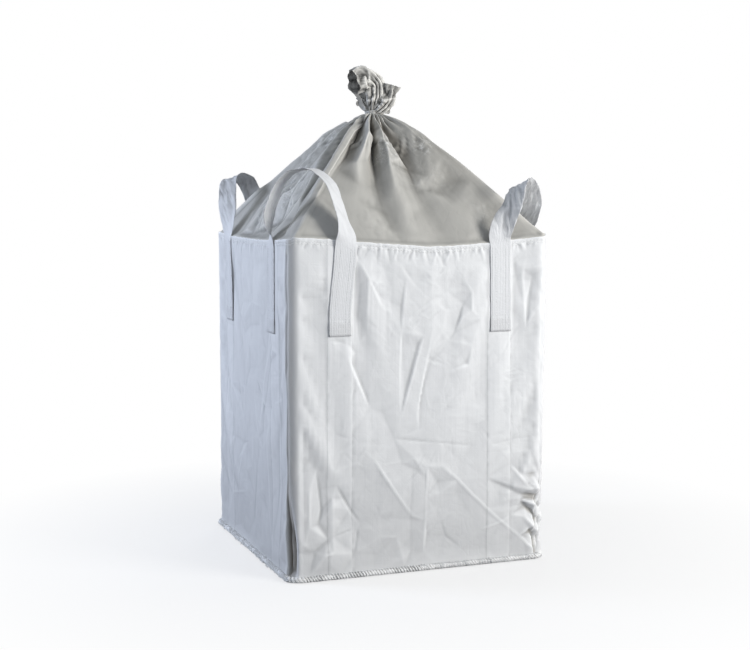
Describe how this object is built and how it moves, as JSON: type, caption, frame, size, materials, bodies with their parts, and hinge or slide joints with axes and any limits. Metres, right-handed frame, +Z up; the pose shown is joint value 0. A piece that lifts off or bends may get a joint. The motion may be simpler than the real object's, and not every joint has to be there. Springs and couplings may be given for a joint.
{
  "type": "bulk bag",
  "caption": "Square flexible bulk bag of woven fabric with a cross-corner lift loop at each corner and a duffle top gathered and tied at the neck.",
  "frame": {"origin": "centre of the base, on the ground", "axes": "+X to the right along the front face, the front face looks along -Y, +Z up"},
  "size_m": [0.9602, 0.9602, 1.685],
  "materials": {
    "bag_fabric": "coated woven tape, slight sheen",
    "duffle_fabric": "thin coated woven tape, slight sheen",
    "webbing": "ribbed webbing, matte",
    "thread": "twisted thread, matte",
    "tie_tape": "woven tape, matte"
  },
  "bodies": {
    "bag": {"body_tube": "bag_fabric", "base_panel": "bag_fabric", "filler_cord": "thread", "base_seam_thread": "thread", "hem_thread": "thread", "duffle_skirt": "duffle_fabric", "skirt_lap_thread": "thread", "loop_flex_front_left": "webbing", "loop_legs_front_left": "webbing", "leg_thread_front_left": "thread", "loop_flex_front_right": "webbing", "loop_legs_front_right": "webbing", "leg_thread_front_right": "thread", "loop_flex_rear_left": "webbing", "loop_legs_rear_left": "webbing", "leg_thread_rear_left": "thread", "loop_flex_rear_right": "webbing", "loop_legs_rear_right": "webbing", "leg_thread_rear_right": "thread"},
    "loop_front_left": {"loop_front_left": "webbing"},
    "loop_front_right": {"loop_front_right": "webbing"},
    "loop_rear_left": {"loop_rear_left": "webbing"},
    "loop_rear_right": {"loop_rear_right": "webbing"},
    "neck": {"tie_cord": "tie_tape", "tie_knot": "tie_tape"},
    "tuft": {"duffle_tuft": "duffle_fabric"},
    "tail_left": {"tie_tail_left": "tie_tape"},
    "tail_right": {"tie_tail_right": "tie_tape"}
  },
  "joints": [
    {"name": "loop_swing_front_left", "type": "hinge", "parent": "bag", "child": "loop_front_left", "pos_m": [-0.36625, -0.36625, 1.1], "axis": [0.7071, -0.7071, 0], "range_deg": [-25, 80], "deforming": ["loop_flex_front_left"]},
    {"name": "loop_swing_front_right", "type": "hinge", "parent": "bag", "child": "loop_front_right", "pos_m": [0.36625, -0.36625, 1.1], "axis": [0.7071, 0.7071, 0], "range_deg": [-25, 80], "deforming": ["loop_flex_front_right"]},
    {"name": "loop_swing_rear_left", "type": "hinge", "parent": "bag", "child": "loop_rear_left", "pos_m": [-0.36625, 0.36625, 1.1], "axis": [-0.7071, -0.7071, 0], "range_deg": [-25, 80], "deforming": ["loop_flex_rear_left"]},
    {"name": "loop_swing_rear_right", "type": "hinge", "parent": "bag", "child": "loop_rear_right", "pos_m": [0.36625, 0.36625, 1.1], "axis": [-0.7071, 0.7071, 0], "range_deg": [-25, 80], "deforming": ["loop_flex_rear_right"]},
    {"name": "neck_sink", "type": "slide", "parent": "bag", "child": "neck", "axis": [0, 0, 1], "range_m": [-0.255, 0], "deforming": ["duffle_skirt", "skirt_lap_thread"]},
    {"name": "tuft_flop", "type": "hinge", "parent": "neck", "child": "tuft", "pos_m": [0, 0, 1.53], "axis": [1, 0, 0], "range_deg": [-35, 35]},
    {"name": "tail_swing_left", "type": "hinge", "parent": "neck", "child": "tail_left", "pos_m": [-0.0292, 0, 1.5404], "axis": [0, -1, 0], "range_deg": [-10, 90]},
    {"name": "tail_swing_right", "type": "hinge", "parent": "neck", "child": "tail_right", "pos_m": [0.0292, 0, 1.5404], "axis": [0, 1, 0], "range_deg": [-10, 90]}
  ]
}
